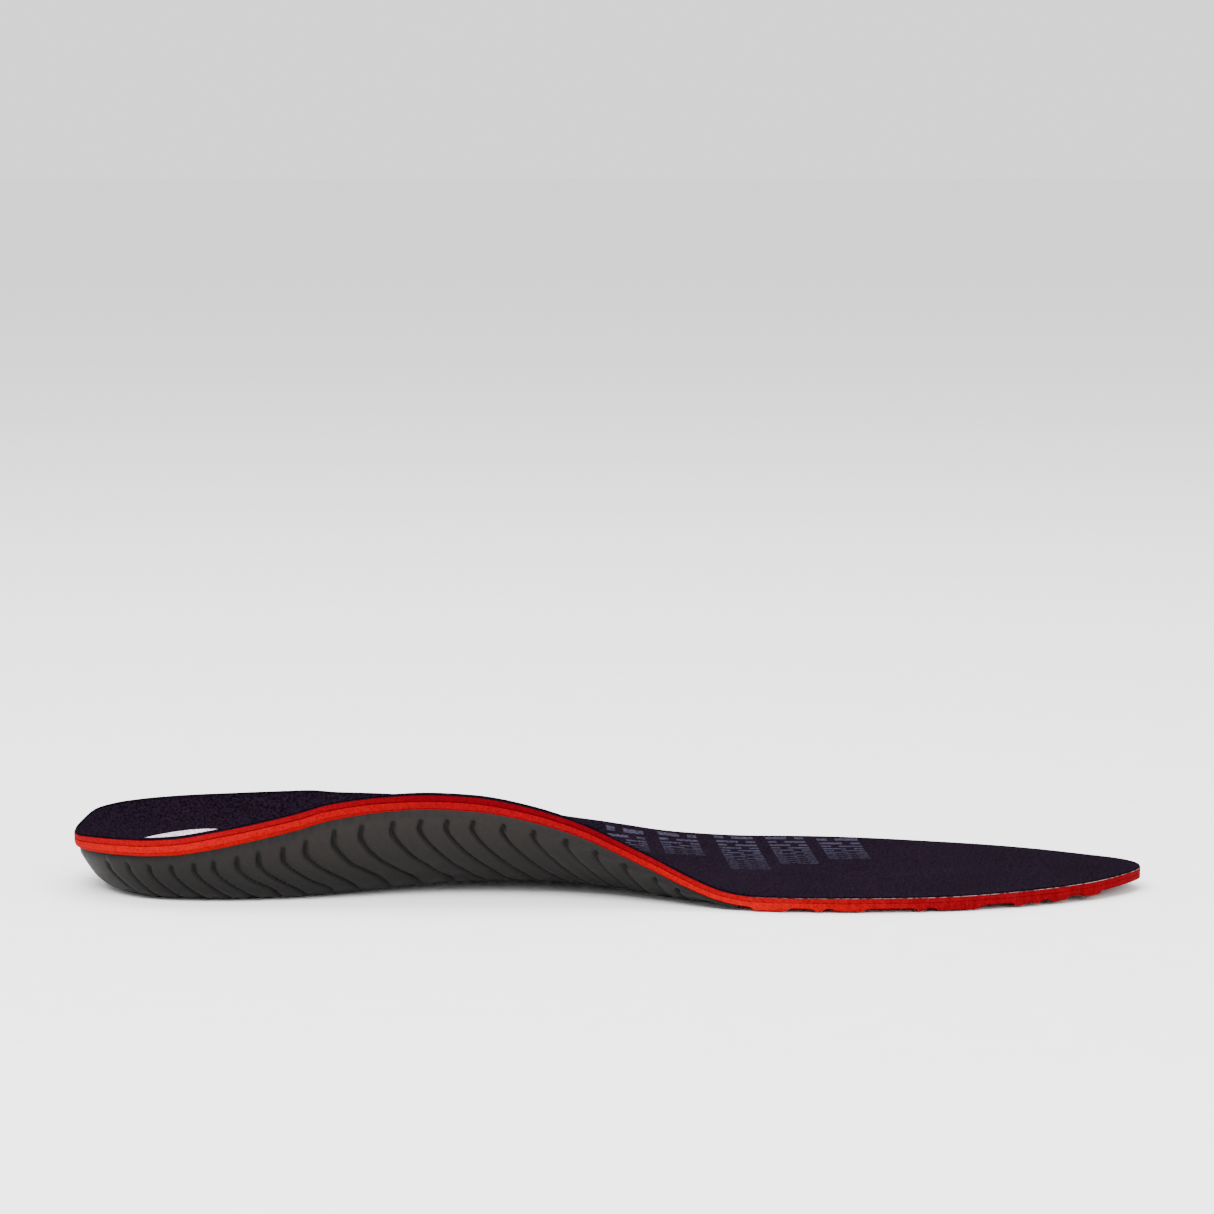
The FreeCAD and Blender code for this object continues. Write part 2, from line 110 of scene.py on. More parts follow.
def make_light(name, location, energy, span):
    """A rectangular light that faces the insole."""
    data = bpy.data.lights.new(name, "AREA")
    data.energy = energy
    data.shape = "RECTANGLE"
    data.size, data.size_y = span
    light = bpy.data.objects.new(name, data)
    light.location = location
    bpy.context.scene.collection.objects.link(light)
    look_at(light, LIGHT_TARGET)


def make_world():
    """An even white surround."""
    world = bpy.data.worlds.new("studio")
    world.use_nodes = True
    background = world.node_tree.nodes["Background"]
    background.inputs["Color"].default_value = (1.0, 1.0, 1.0, 1.0)
    background.inputs["Strength"].default_value = WORLD_STRENGTH
    bpy.context.scene.world = world


make_camera()
for light in LIGHTS:
    make_light(*light)
make_world()


# ---------------------------------------------------------------- reading the frame
def tree(*names):
    """A search tree over the faces of several CAD nodes."""
    points, faces = [], []
    for name in names:
        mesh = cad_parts[name].data
        start = len(points)
        points += [tuple(v.co) for v in mesh.vertices]
        faces += [tuple(start + i for i in p.vertices) for p in mesh.polygons]
    return BVHTree.FromPolygons(points, faces)


RAY_START = 0.2


def struck(search, x, y, from_above=True):
    """Height where a vertical line first meets a search tree, or None."""
    start = Vector((x, y, RAY_START if from_above else -RAY_START))
    hit = search.ray_cast(start, Vector((0, 0, -1 if from_above else 1)))
    return hit[0].z if hit[0] is not None else None


COVER = tree("top_cover_rear", "top_cover_front")
UPPER = tree("upper_foam_rear", "upper_foam_front")
LOWER = tree("lower_foam_rear", "lower_foam_front")
CRADLE = tree("support_cradle")


def smooth_ring(values, passes):
    """Values round a closed ring, each averaged with its neighbours a number of times."""
    for _ in range(passes):
        values = (np.roll(values, 1, 0) + 2 * values + np.roll(values, -1, 0)) / 4
    return values


# The outline is found by halving along rays that start on the line from a heel to a toe point. Their
# start moves along it as they turn, more sharply with a higher SWING. Each looks as far as FARTHEST.
OUTLINE_POINTS = 720
HEEL_START, TOE_START = (0.036, -0.004), (0.040, -0.014)
SWING = 2.2
FARTHEST = 0.09
HALVINGS = 22
OUTLINE_PASSES, NORMAL_PASSES = 3, 6


def plan_outline():
    """The insole's outline in plan, counter-clockwise from the heel along the inner edge."""
    half = (cad_high.x - cad_low.x) / 2
    heel = Vector((-half + HEEL_START[0], HEEL_START[1]))
    toe = Vector((half - TOE_START[0], TOE_START[1]))
    ring = []
    for k in range(OUTLINE_POINTS):
        turn = math.pi + 2 * math.pi * k / OUTLINE_POINTS
        share = 0.5 + 0.5 * math.tanh(SWING * math.cos(turn)) / math.tanh(SWING)
        start = heel.lerp(toe, share)
        way = Vector((math.cos(turn), math.sin(turn)))
        low, high = 0.0, FARTHEST
        for _ in range(HALVINGS):
            reach = (low + high) / 2
            point = start + way * reach
            if struck(COVER, point.x, point.y) is None:
                high = reach
            else:
                low = reach
        ring.append(tuple(start + way * low))
    return smooth_ring(np.array(ring), OUTLINE_PASSES)


def even_ring(ring, count):
    """A closed ring resampled to evenly spaced points."""
    closed = np.vstack([ring, ring[:1]])
    steps = np.hypot(*np.diff(closed, axis=0).T)
    travel = np.concatenate([[0], np.cumsum(steps)])
    stops = np.arange(count) * travel[-1] / count
    return np.stack([np.interp(stops, travel, closed[:, i]) for i in range(2)], axis=1)


def ring_normals(ring):
    """Inward unit normals of a counter-clockwise ring."""
    ahead = np.roll(ring, -1, 0) - np.roll(ring, 1, 0)
    ahead = smooth_ring(ahead, NORMAL_PASSES)
    ahead /= np.linalg.norm(ahead, axis=1, keepdims=True)
    return np.stack([-ahead[:, 1], ahead[:, 0]], axis=1)


# ---------------------------------------------------------------- plan grids
RAW_RING = plan_outline()
FIRST_INSET = 0.15
INSETS = [FIRST_INSET, 0.35, 0.6, 1.0, 1.5, 2.1, 2.8, 3.6, 4.5, 5.5, 6.6, 7.8, 9.1, 10.5, 12.0, 13.5]
# The middle line's ends, its number of stations, and the share of a step left open at the middle.
SPINE_HEEL, SPINE_TOE = -0.1425 + 0.037, 0.1425 - 0.040
SPINE_STATIONS = 60
SPINE_GAP = 0.35


def middle_line(ring):
    """Stations and sideways places of the line midway between the two edges."""
    split = int(np.argmax(ring[:, 0]))
    inner, outer = ring[:split + 1], ring[split:][::-1]
    stations = np.linspace(SPINE_HEEL, SPINE_TOE, SPINE_STATIONS)
    low = np.interp(stations, inner[:, 0], inner[:, 1])
    high = np.interp(stations, outer[:, 0], outer[:, 1])
    return stations, (low + high) / 2


def plan_grid(count, insets, spine_steps):
    """Rings of plan points from the edge inwards, closing on the middle line."""
    ring = even_ring(RAW_RING, count)
    inward = ring_normals(ring)
    rings = [ring + inward * inset * MM for inset in insets]
    stations, places = middle_line(ring)
    last = rings[-1]
    stops = np.clip(last[:, 0], SPINE_HEEL, SPINE_TOE)
    spine = np.stack([stops, np.interp(stops, stations, places)], axis=1)
    for step in range(1, spine_steps + 1):
        rings.append(last + (spine - last) * step / (spine_steps + SPINE_GAP))
    return np.array(rings)


def heights(grid, search, from_above, spread=0.0):
    """Heights of a surface over a plan grid, each the mean of near samples where spread is set."""
    offsets = [(0.0, 0.0)]
    if spread:
        offsets += [(spread, 0.0), (-spread, 0.0), (0.0, spread), (0.0, -spread)]
    result = np.empty(grid.shape[:2])
    for r, ring in enumerate(grid):
        for k, (x, y) in enumerate(ring):
            found = [struck(search, x + dx, y + dy, from_above) for dx, dy in offsets]
            found = [z for z in found if z is not None]
            result[r, k] = sum(found) / len(found) if found else np.nan
    return filled(result)


def filled(field):
    """A field with each missing value taken from its neighbours on the ring or from the ring before."""
    count = field.shape[1]
    for r in range(field.shape[0]):
        missing = np.isnan(field[r])
        if missing.all():
            field[r] = field[r - 1]
        elif missing.any():
            known = np.flatnonzero(~missing)
            places = np.concatenate([known - count, known, known + count])
            field[r] = np.interp(np.arange(count), places, np.tile(field[r][known], 3))
    return field


def eased(field, passes):
    """A field smoothed round its rings and a little across them."""
    for _ in range(passes):
        field = (np.roll(field, 1, 1) + 2 * field + np.roll(field, -1, 1)) / 4
        inner = (field[:-2] + 2 * field[1:-1] + field[2:]) / 4
        field = np.vstack([field[:1], inner, field[-1:]])
    return field


# ---------------------------------------------------------------- meshes
def new_piece(name, points, faces):
    """A smooth-shaded mesh object in the scene."""
    mesh = bpy.data.meshes.new(name)
    mesh.from_pydata([tuple(p) for p in points], [], faces)
    mesh.validate()
    mesh.update()
    mesh.polygons.foreach_set("use_smooth", [True] * len(mesh.polygons))
    obj = bpy.data.objects.new(name, mesh)
    bpy.context.scene.collection.objects.link(obj)
    return obj


def ring_quads(index):
    """Quads between each ring of point numbers and the next."""
    corners = [index[:-1], np.roll(index[:-1], -1, 1), np.roll(index[1:], -1, 1), index[1:]]
    return np.stack(corners, axis=-1).reshape(-1, 4)


def lofted(name, loops):
    """A closed skin through rings of points, capped at both ends."""
    loops = np.array(loops)
    rows, count = loops.shape[:2]
    index = np.arange(rows * count).reshape(rows, count)
    faces = [tuple(int(i) for i in quad) for quad in ring_quads(index)]
    for ends, flip in ((index[0], False), (index[-1], True)):
        faces += cap(ends, flip)
    return new_piece(name, loops.reshape(-1, 3), faces)


def cap(ring, flip):
    """Quads that close the last ring, joining its two sides across the middle line."""
    count = len(ring)
    faces = []
    for k in range(count // 2 - 1):
        quad = [int(ring[k]), int(ring[count - 1 - k]), int(ring[count - 2 - k]), int(ring[k + 1])]
        faces.append(tuple(quad[::-1] if flip else quad))
    return faces


def raised(grid, field):
    """Plan rings with heights as rings of 3-D points."""
    return np.dstack([grid, field])


# A cut edge's unevenness: passes of smoothing for its fine and its slow part, and the slow part's share.
FINE_PASSES, SLOW_PASSES, SLOW_SHARE = 2, 24, 3.0
# How far the outline lies outside the first ring, in metres, and an edge's largest rounding, as a
# share of its thickness.
RIM_OUT = 0.00015
LARGEST_ROUND = 0.48
ROUND_SHARES = (0.0, 0.33, 0.66, 1.0)
WALL_SHARES = (0.33, 0.66)


def wavering(count, seed, amount):
    """Small smooth random steps round a ring, in metres, for a cut edge that isn't quite even."""
    rough = np.random.default_rng(seed).normal(size=count)
    slow = smooth_ring(np.random.default_rng(seed + 1).normal(size=count), SLOW_PASSES) * SLOW_SHARE
    return (smooth_ring(rough, FINE_PASSES) + slow) * amount * MM


def sheet_piece(name, grid, top, bottom, shrink, rounding, waver, seed):
    """A layer between two height fields; its edge's shrink, rounding and waver are in mm."""
    inward = ring_normals(grid[0])
    start = shrink * MM + wavering(len(inward), seed, waver)
    rim_top, rim_bottom = top[0], bottom[0]
    thick = rim_top - rim_bottom
    station = (grid[0, :, 0] - cad_low.x) / MM
    radius = np.minimum(np.interp(station, *rounding) * MM, thick * LARGEST_ROUND)
    turns = [math.pi / 2 * share for share in ROUND_SHARES]

    def corner(turn, height, way):
        """The ring at a turn of a rounded corner, which starts from a height and goes up or down."""
        place = grid[0] + inward * (start + radius * (1 - math.sin(turn)) - RIM_OUT)[:, None]
        return np.column_stack([place, height + way * radius * (1 - math.cos(turn))])

    loops = list(raised(grid, top)[::-1][:-1])
    loops += [corner(turn, rim_top, -1) for turn in turns]
    middle = grid[0] + inward * (start - RIM_OUT)[:, None]
    for share in WALL_SHARES:
        drop = radius + (thick - 2 * radius) * share
        loops.append(np.column_stack([middle, rim_top - drop]))
    loops += [corner(turn, rim_bottom, 1) for turn in turns[::-1]]
    loops += list(raised(grid, bottom)[1:])
    return lofted(name, loops)


def outward(obj):
    """Turns every face of a closed piece outwards."""
    work = bmesh.new()
    work.from_mesh(obj.data)
    bmesh.ops.recalc_face_normals(work, faces=work.faces)
    work.to_mesh(obj.data)
    work.free()


# ---------------------------------------------------------------- cover and foam plies
# Rounding of each layer's edge in mm, by station.
PLY_ROUND = ([0, 140, 182, 285], [0.32, 0.30, 0.05, 0.05])
COVER_ROUND = ([0, 285], [0.30, 0.30])
SCRIM_ROUND = ([0, 285], [0.05, 0.05])
# Air between layers, the scrim's height over the foam, its air under the cover, and how far apart
# the samples are that each of the tread's heights is the mean of, in metres.
AIR = 0.00002
SCRIM_RISE, SCRIM_AIR = 0.00014, 0.00001
TREAD_SPREAD = 0.00032
TOP_PASSES, TREAD_PASSES = 4, 1

GRID = plan_grid(720, INSETS, spine_steps=20)
COVER_TOP = eased(heights(GRID, COVER, True), TOP_PASSES)
UPPER_TOP = eased(heights(GRID, UPPER, True), TOP_PASSES)
LOWER_TOP = eased(heights(GRID, LOWER, True), TOP_PASSES)
SCRIM_TOP = UPPER_TOP + SCRIM_RISE

cover = sheet_piece("top_cover", GRID, COVER_TOP, SCRIM_TOP,
                    shrink=0.40, rounding=COVER_ROUND, waver=0.02, seed=3)
backing = sheet_piece("cover_backing", GRID, SCRIM_TOP - SCRIM_AIR, UPPER_TOP + AIR,
                      shrink=0.22, rounding=SCRIM_ROUND, waver=0.05, seed=5)
upper_foam = sheet_piece("upper_foam", GRID, UPPER_TOP - AIR, LOWER_TOP + AIR,
                         shrink=0.15, rounding=PLY_ROUND, waver=0.045, seed=7)

TREAD_INSETS = [FIRST_INSET, 0.35, 0.6] + [1.0 + 0.62 * k for k in range(21)]
TREAD_GRID = plan_grid(1100, TREAD_INSETS, spine_steps=44)
TREAD_TOP = eased(heights(TREAD_GRID, LOWER, True), TOP_PASSES)
TREAD_BOTTOM = eased(heights(TREAD_GRID, LOWER, False, TREAD_SPREAD), TREAD_PASSES)
lower_foam = sheet_piece("lower_foam", TREAD_GRID, TREAD_TOP - AIR, TREAD_BOTTOM,
                         shrink=0.15, rounding=PLY_ROUND, waver=0.045, seed=7)


# ---------------------------------------------------------------- the ribbed cradle
# Where each groove in the side walls starts under the rim, by station.
INNER_STARTS = [9.2, 15.2, 21.3, 27.5, 33.6, 38.8, 44.9, 50.5, 56.9, 62.8, 70.3, 77.4, 85.6, 92.8,
                99.7, 106.5, 114.4, 122.3, 130.7, 138.4, 146.0, 153.9]
RIB_STARTS = {"inner": INNER_STARTS + [159.7], "outer": INNER_STARTS[:17]}
# How far each groove sweeps towards the toe, how far its top hooks that way, and how much the wall
# swells on its toe side, in mm by the station where it starts.
RIB_SWEEP = ([0, 30, 43, 62, 85, 114, 131, 146, 160],
             [6.5, 9.5, 12.5, 15.0, 17.5, 18.0, 15.7, 8.0, 5.0])
RIB_HOOK = ([0, 30, 60], [0.1, 0.4, 1.0])
RIB_SWELL = ([0, 25, 50], [0.15, 0.35, 0.60])
# The inset of a groove's top end, and the shape of its sweep down the wall.
RIB_FIRST = 1.6
SWEEP_PROBE, SWEEP_POWER = 0.4, 1.5
HOOK_START, HOOK_REACH = 0.4, 0.85
# Depth and half width of a groove, how soon the swell rises beside it, the spacing taken after the
# last groove, and the least spacing that a swell falls over, in mm.
GROOVE_DEPTH, GROOVE_HALF = 1.05, 0.60
SWELL_REACH = 0.9
LAST_PITCH, LEAST_PITCH = 6.0, 2.0
# Where grooves fade: mm before the top end, and share of the wall before its foot.
FADE_TOP, FADE_FOOT = 0.55, 0.06


def rib_relief(ring, insets, hull):
    """How far the ribbed walls stand out or sink, in mm, for each ring and each point round it."""
    station = (ring[:, 0] - cad_low.x) / MM
    split = int(np.argmax(ring[:, 0]))
    steps = np.hypot(*(np.roll(ring, -1, 0) - ring).T) / MM
    travel = np.concatenate([[0], np.cumsum(steps)[:-1]])
    walls = hull[:len(insets)]
    drop = (walls[0] - walls) / (walls[0] - walls.min(axis=0))
    first = int(np.searchsorted(insets, RIB_FIRST))
    drop = np.clip((drop - drop[first]) / (1 - drop[first]), 0.0, 1.0)
    sides = {
        "inner": (np.arange(0, split), travel[:split]),
        "outer": (np.arange(len(ring) - 1, split, -1), steps.sum() - travel[:split:-1]),
    }
    relief = np.zeros((len(insets), len(ring)))
    for side, (here, arc) in sides.items():
        starts = np.array(RIB_STARTS[side])
        sweep = np.interp(starts, *RIB_SWEEP)
        hooks = np.interp(starts, *RIB_HOOK)
        swell = np.interp(starts, *RIB_SWELL)
        for row, inset in enumerate(insets):
            past = inset - RIB_FIRST
            down = np.interp(starts + sweep * SWEEP_PROBE, station[here], drop[row, here])
            hook = math.exp(-((max(past, -HOOK_START) / HOOK_REACH) ** 2))
            place = starts + sweep * down ** SWEEP_POWER + hooks * hook
            fade_in = min(max((past + FADE_TOP) / FADE_TOP, 0.0), 1.0)
            fade_out = np.clip((1.0 - down) / FADE_FOOT, 0.0, 1.0)
            strengths = fade_in * fade_in * (3 - 2 * fade_in) * fade_out
            lines = np.interp(place, station[here], arc)
            after = arc[:, None] - lines[None, :]
            groove = -GROOVE_DEPTH * np.exp(-((after / GROOVE_HALF) ** 2))
            pitch = np.maximum(np.append(np.diff(lines), LAST_PITCH), LEAST_PITCH)
            ramp = np.clip(1 - after / pitch, 0.0, 1.0)
            rise = swell * ramp * (1 - np.exp(-np.maximum(after, 0.0) / SWELL_REACH))
            bulge = np.where(after > 0, rise, 0.0)
            relief[row, here] += ((groove + bulge) * strengths).sum(axis=1)
    return relief


TINY = 1e-12


def grid_normals(points):
    """Unit normals of a grid of points, pointing outwards and down."""
    around = np.roll(points, -1, 1) - np.roll(points, 1, 1)
    across = np.gradient(points, axis=0)
    normal = np.cross(across, around)
    normal /= np.maximum(np.linalg.norm(normal, axis=2, keepdims=True), TINY)
    flip = np.sign(normal[..., 2:3].mean())
    return -normal * flip


def median_round(field, reach):
    """The middle value of each point's neighbours round its ring."""
    stack = np.stack([np.roll(field, shift, 1) for shift in range(-reach, reach + 1)])
    return np.median(stack, axis=0)


# The cradle's front edge: middle and radius in plan. Points this near to it, in metres, or to the
# window's edge, as a share of its size, are moved onto them.
FRONT_ARC = (cad_low.x + 0.059, -0.020, 0.120)
ARC_NEAR, OVAL_NEAR = 0.00075, 0.045


def window_oval():
    """Middle and half sizes in plan of the opening under the heel, from the gel pad that fills it."""
    low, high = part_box("heel_gel_pad")
    return (low.x + high.x) / 2, (low.y + high.y) / 2, (high.x - low.x) / 2, (high.y - low.y) / 2


def trimmed(grid):
    """The cradle's plan, with points by its front edge or window moved onto them, and which it has."""
    plan = grid.copy()
    arc_x, arc_y, radius = FRONT_ARC
    dx, dy = plan[..., 0] - arc_x, plan[..., 1] - arc_y
    far = np.hypot(dx, dy)
    kept = far <= radius
    near = np.abs(far - radius) < ARC_NEAR
    plan[..., 0] = np.where(near, arc_x + dx / far * radius, plan[..., 0])
    plan[..., 1] = np.where(near, arc_y + dy / far * radius, plan[..., 1])
    kept |= near
    oval_x, oval_y, half_x, half_y = window_oval()
    dx, dy = (plan[..., 0] - oval_x) / half_x, (plan[..., 1] - oval_y) / half_y
    share = np.hypot(dx, dy)
    near = np.abs(share - 1) < OVAL_NEAR
    plan[..., 0] = np.where(near, oval_x + dx / share * half_x, plan[..., 0])
    plan[..., 1] = np.where(near, oval_y + dy / share * half_y, plan[..., 1])
    kept &= (share >= 1) | near
    return plan, kept


# The cradle's rings: insets in mm, points round each, and steps from the last to the middle line.
CRADLE_INSETS = [FIRST_INSET + 0.45 * k for k in range(45)]
CRADLE_POINTS, CRADLE_STEPS = 1500, 18
# Smoothing that takes the CAD's own grooves out of the hull, and that of the foam's underside.
HULL_REACH, HULL_PASSES, SEAT_PASSES = 6, 5, 8
# How far the wall is set back from the foam's edge at the rim, in mm by station, fading over LIP_REACH.
LIP = ([0, 55, 90, 180], [0.85, 0.60, 0.30, 0.15])
LIP_REACH = 6.0
# Least thickness and the inner face's extra set-back, in metres.
THINNEST_WALL, SEAT_SET_BACK = 0.0004, 0.0003
# Depth of the crack between foam and cradle by station, how far its floor lies under the foam, in
# mm, and the shares of that depth by which the inner face's first rings go in.
CRACK = ([0, 35, 60, 90], [1.3, 1.2, 0.5, 0.0])
CRACK_DROP = 0.6
CRACK_SHARES = (1.0, 0.7, 0.35)
# How far the wall's first ring lies under the foam, what a crack takes off that, and the least that
# the second ring lies under it where there is no crack, in metres.
RIM_UNDER, RIM_LIFT, LEDGE_UNDER = 0.00030, 0.00022, 0.00065
# Painted shade of the crack on the wall's first rings and by station, and the depth, in mm, at which a
# groove's painted shade is full.
GAP_SHADE = [1.0, 0.9, 0.1]
REAR_SHADE = ([60, 110], [1.0, 0.25])
FULL_SHADE = 0.75
# The crack's painted shade comes and goes along the insole: two waves, by station.
BREAK_MIDDLE, BREAK_SWING = 0.65, 0.35
BREAK_FAST, BREAK_SLOW, BREAK_SHIFT = 2.1, 0.83, 1.0


def cradle_faces(index, kept):
    """Faces of the closed shell: its underside, the same ones above, and sides between open edges."""
    offset = index.size
    solid = kept.reshape(-1)
    quads = ring_quads(index)
    quads = quads[solid[quads].all(axis=1)]
    faces = [tuple(int(i) for i in quad) for quad in quads]
    faces += [quad for quad in cap(index[-1], False) if solid[list(quad)].all()]
    tops = [tuple(i + offset for i in reversed(face)) for face in faces]
    used = dict.fromkeys(pair for face in faces for pair in zip(face, face[1:] + face[:1]))
    sides = [(b, a, a + offset, b + offset) for a, b in used if (b, a) not in used]
    return faces + tops + sides


def painted_shade_values(station, relief):
    """Painted shade in the grooves and in the crack under the foam, for the points of the underside."""
    shade = np.clip(-relief / FULL_SHADE, 0.0, 1.0)
    rear = np.interp(station, *REAR_SHADE)
    waves = np.sin(station * BREAK_FAST) * np.sin(station * BREAK_SLOW + BREAK_SHIFT)
    broken = BREAK_MIDDLE + BREAK_SWING * waves
    for row, dark in enumerate(GAP_SHADE):
        shade[row] = np.maximum(shade[row], dark * rear * broken)
    return shade


def without_loose_points(obj):
    """Deletes the points that no face uses."""
    work = bmesh.new()
    work.from_mesh(obj.data)
    loose = [v for v in work.verts if not v.link_faces]
    bmesh.ops.delete(work, geom=loose, context="VERTS")
    work.to_mesh(obj.data)
    work.free()


def cradle_piece():
    """The cradle as a shell between the foam's underside and its own ribbed hull."""
    grid = plan_grid(CRADLE_POINTS, CRADLE_INSETS, CRADLE_STEPS)
    hull = eased(median_round(heights(grid, CRADLE, False), HULL_REACH), HULL_PASSES)
    seat = eased(heights(grid, LOWER, False), SEAT_PASSES)
    plan, kept = trimmed(grid)
    rows, count = kept.shape
    walls = len(CRADLE_INSETS)
    station = (grid[0, :, 0] - cad_low.x) / MM
    edge = np.interp(station, *LIP)[None, :, None] * MM
    ramp = np.zeros(rows)
    ramp[:walls] = np.clip(1 - np.array(CRADLE_INSETS) / LIP_REACH, 0, 1)
    ramp = ramp[:, None, None]
    inward = ring_normals(grid[0])[None]
    hull = np.minimum(hull, seat - THINNEST_WALL)
    under = np.dstack([plan + inward * edge * ramp, hull])
    relief = np.zeros((rows, count))
    relief[:walls] = rib_relief(grid[0], CRADLE_INSETS, hull)
    under = under + grid_normals(under) * (relief * MM)[..., None]
    under[..., 2] = np.maximum(under[..., 2], cad_low.z)
    over = np.dstack([plan + inward * (edge + SEAT_SET_BACK) * ramp, seat - AIR])
    crack = np.interp(station, *CRACK)
    open_share = np.minimum(crack, 1.0)
    under[0, :, 2] = seat[0] - RIM_UNDER + RIM_LIFT * open_share
    ledge = np.minimum(under[1, :, 2], seat[1] - LEDGE_UNDER)
    under[1, :, 2] = ledge + (seat[0] - CRACK_DROP * MM - ledge) * open_share
    under[0, :, :2] += inward[0] * MM * crack[:, None]
    for row, share in enumerate(CRACK_SHARES):
        over[row, :, :2] += inward[0] * MM * share * crack[:, None]
    faces = cradle_faces(np.arange(rows * count).reshape(rows, count), kept)
    points = np.vstack([under.reshape(-1, 3), over.reshape(-1, 3)])
    obj = new_piece("support_cradle_shell", points, faces)
    # Painted shade for the grooves and the crack, kept on the points for the cradle's material.
    shade = painted_shade_values(station, relief)
    painted_shade = obj.data.attributes.new("painted_shade", "FLOAT", "POINT")
    painted_shade.data.foreach_set("value", np.concatenate([shade.ravel(), np.tile(shade[0], rows)]))
    without_loose_points(obj)
    return obj


# A pad's rings: points round each, how many, the shares of its size from the first to the last, and
# its clearance, in metres.
PAD_POINTS, PAD_RINGS = 96, 16
PAD_OUTER, PAD_INNER = 0.99, 0.02
PAD_CLEAR = 0.00005


def pad_piece(name, node):
    """An oval gel pad, lofted through many rings over its CAD node's top and bottom."""
    search = tree(node)
    low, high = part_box(node)
    middle = np.array([(low.x + high.x) / 2, (low.y + high.y) / 2])
    half = np.array([(high.x - low.x) / 2, (high.y - low.y) / 2]) - PAD_CLEAR
    turns = np.linspace(0, 2 * math.pi, PAD_POINTS, endpoint=False)
    oval = np.stack([np.cos(turns), np.sin(turns)], axis=1)
    shares = np.linspace(PAD_OUTER, PAD_INNER, PAD_RINGS)
    grid = np.array([middle + oval * half * share for share in shares])
    top = heights(grid, search, True)
    bottom = heights(grid, search, False)
    loops = list(raised(grid, top)[::-1]) + list(raised(grid, bottom))
    return lofted(name, loops)


ball_pad = pad_piece("ball_pad", "ball_gel_pad")
heel_pad = pad_piece("heel_pad", "heel_gel_pad")
cradle = cradle_piece()
for piece in (cover, backing, upper_foam, lower_foam, ball_pad, heel_pad, cradle):
    outward(piece)


# ---------------------------------------------------------------- materials
NOISE_ROUGHNESS = 0.55
KNIT_PITCH = 0.00085


class Finish:
    """A material under construction: its nodes, and short ways to add and join them."""

    def __init__(self, name):
        self.material = bpy.data.materials.new(name)
        self.material.use_nodes = True
        self.nodes = self.material.node_tree.nodes
        self.links = self.material.node_tree.links
        self.shader = self.nodes["Principled BSDF"]
        self.place = self.nodes.new("ShaderNodeTexCoord").outputs["Object"]

    def add(self, kind, settings=None, **inputs):
        node = self.nodes.new(kind)
        for key, value in (settings or {}).items():
            setattr(node, key, value)
        for key, value in inputs.items():
            self.feed(node.inputs[key.replace("_", " ")], value)
        return node

    def feed(self, socket, value):
        if isinstance(value, bpy.types.NodeSocket):
            self.links.new(value, socket)
        else:
            socket.default_value = value

    def stretched(self, x, y, z):
        """The object's coordinates, in metres, scaled along each axis."""
        mapping = self.add("ShaderNodeMapping", Vector=self.place)
        mapping.inputs["Scale"].default_value = (x, y, z)
        return mapping.outputs["Vector"]

    def noise(self, vector, scale, detail):
        node = self.add("ShaderNodeTexNoise", Vector=vector, Scale=scale, Detail=detail,
                        Roughness=NOISE_ROUGHNESS)
        return node.outputs["Fac"]

    def cells(self, vector, scale):
        return self.add("ShaderNodeTexVoronoi", Vector=vector, Scale=scale).outputs["Distance"]

    def ramp(self, value, *stops):
        node = self.add("ShaderNodeValToRGB", Fac=value)
        points = node.color_ramp.elements
        while len(points) < len(stops):
            points.new(0.5)
        for point, (place, colour) in zip(points, stops):
            point.position = place
            point.color = (*colour, 1.0)
        return node.outputs["Color"]

    def ranged(self, value, low, high, to_low, to_high):
        node = self.add("ShaderNodeMapRange", {"clamp": True}, Value=value)
        for key, amount in (("From Min", low), ("From Max", high), ("To Min", to_low),
                            ("To Max", to_high)):
            node.inputs[key].default_value = amount
        return node.outputs["Result"]

    def times(self, a, b):
        node = self.add("ShaderNodeMath", {"operation": "MULTIPLY"})
        self.feed(node.inputs[0], a)
        self.feed(node.inputs[1], b)
        return node.outputs["Value"]

    def mixed(self, share, a, b, blend_type="MIX"):
        node = self.add("ShaderNodeMix", {"data_type": "RGBA", "blend_type": blend_type})
        self.feed(node.inputs["Factor"], share)
        colours = [s for s in node.inputs if s.type == "RGBA"]
        for socket, colour in zip(colours, (a, b)):
            if isinstance(colour, tuple) and len(colour) == 3:
                colour = (*colour, 1.0)
            self.feed(socket, colour)
        return [s for s in node.outputs if s.type == "RGBA"][0]

    def bumped(self, height, strength, distance, under=None):
        node = self.add("ShaderNodeBump", Strength=strength, Distance=distance, Height=height)
        if under is not None:
            self.links.new(under, node.inputs["Normal"])
        return node.outputs["Normal"]

    def finish(self, colour, roughness, normal=None, **constants):
        self.feed(self.shader.inputs["Base Color"], colour)
        self.feed(self.shader.inputs["Roughness"], roughness)
        if normal is not None:
            self.links.new(normal, self.shader.inputs["Normal"])
        for key, value in constants.items():
            self.shader.inputs[key.replace("_", " ")].default_value = value
        return self.material


def knit_heights(f):
    """Heights of a fine knit: rows of small loops along the insole."""
    rows = f.add("ShaderNodeTexWave", {"bands_direction": "X"}, Vector=f.place,
                 Scale=1 / KNIT_PITCH / 3.2, Distortion=1.2, Detail=1.0)
    loops = f.add("ShaderNodeTexWave", {"bands_direction": "Y"}, Vector=f.place,
                  Scale=1 / KNIT_PITCH / 4.2, Distortion=1.6, Detail=1.0)
    return f.times(rows.outputs["Fac"], loops.outputs["Fac"])


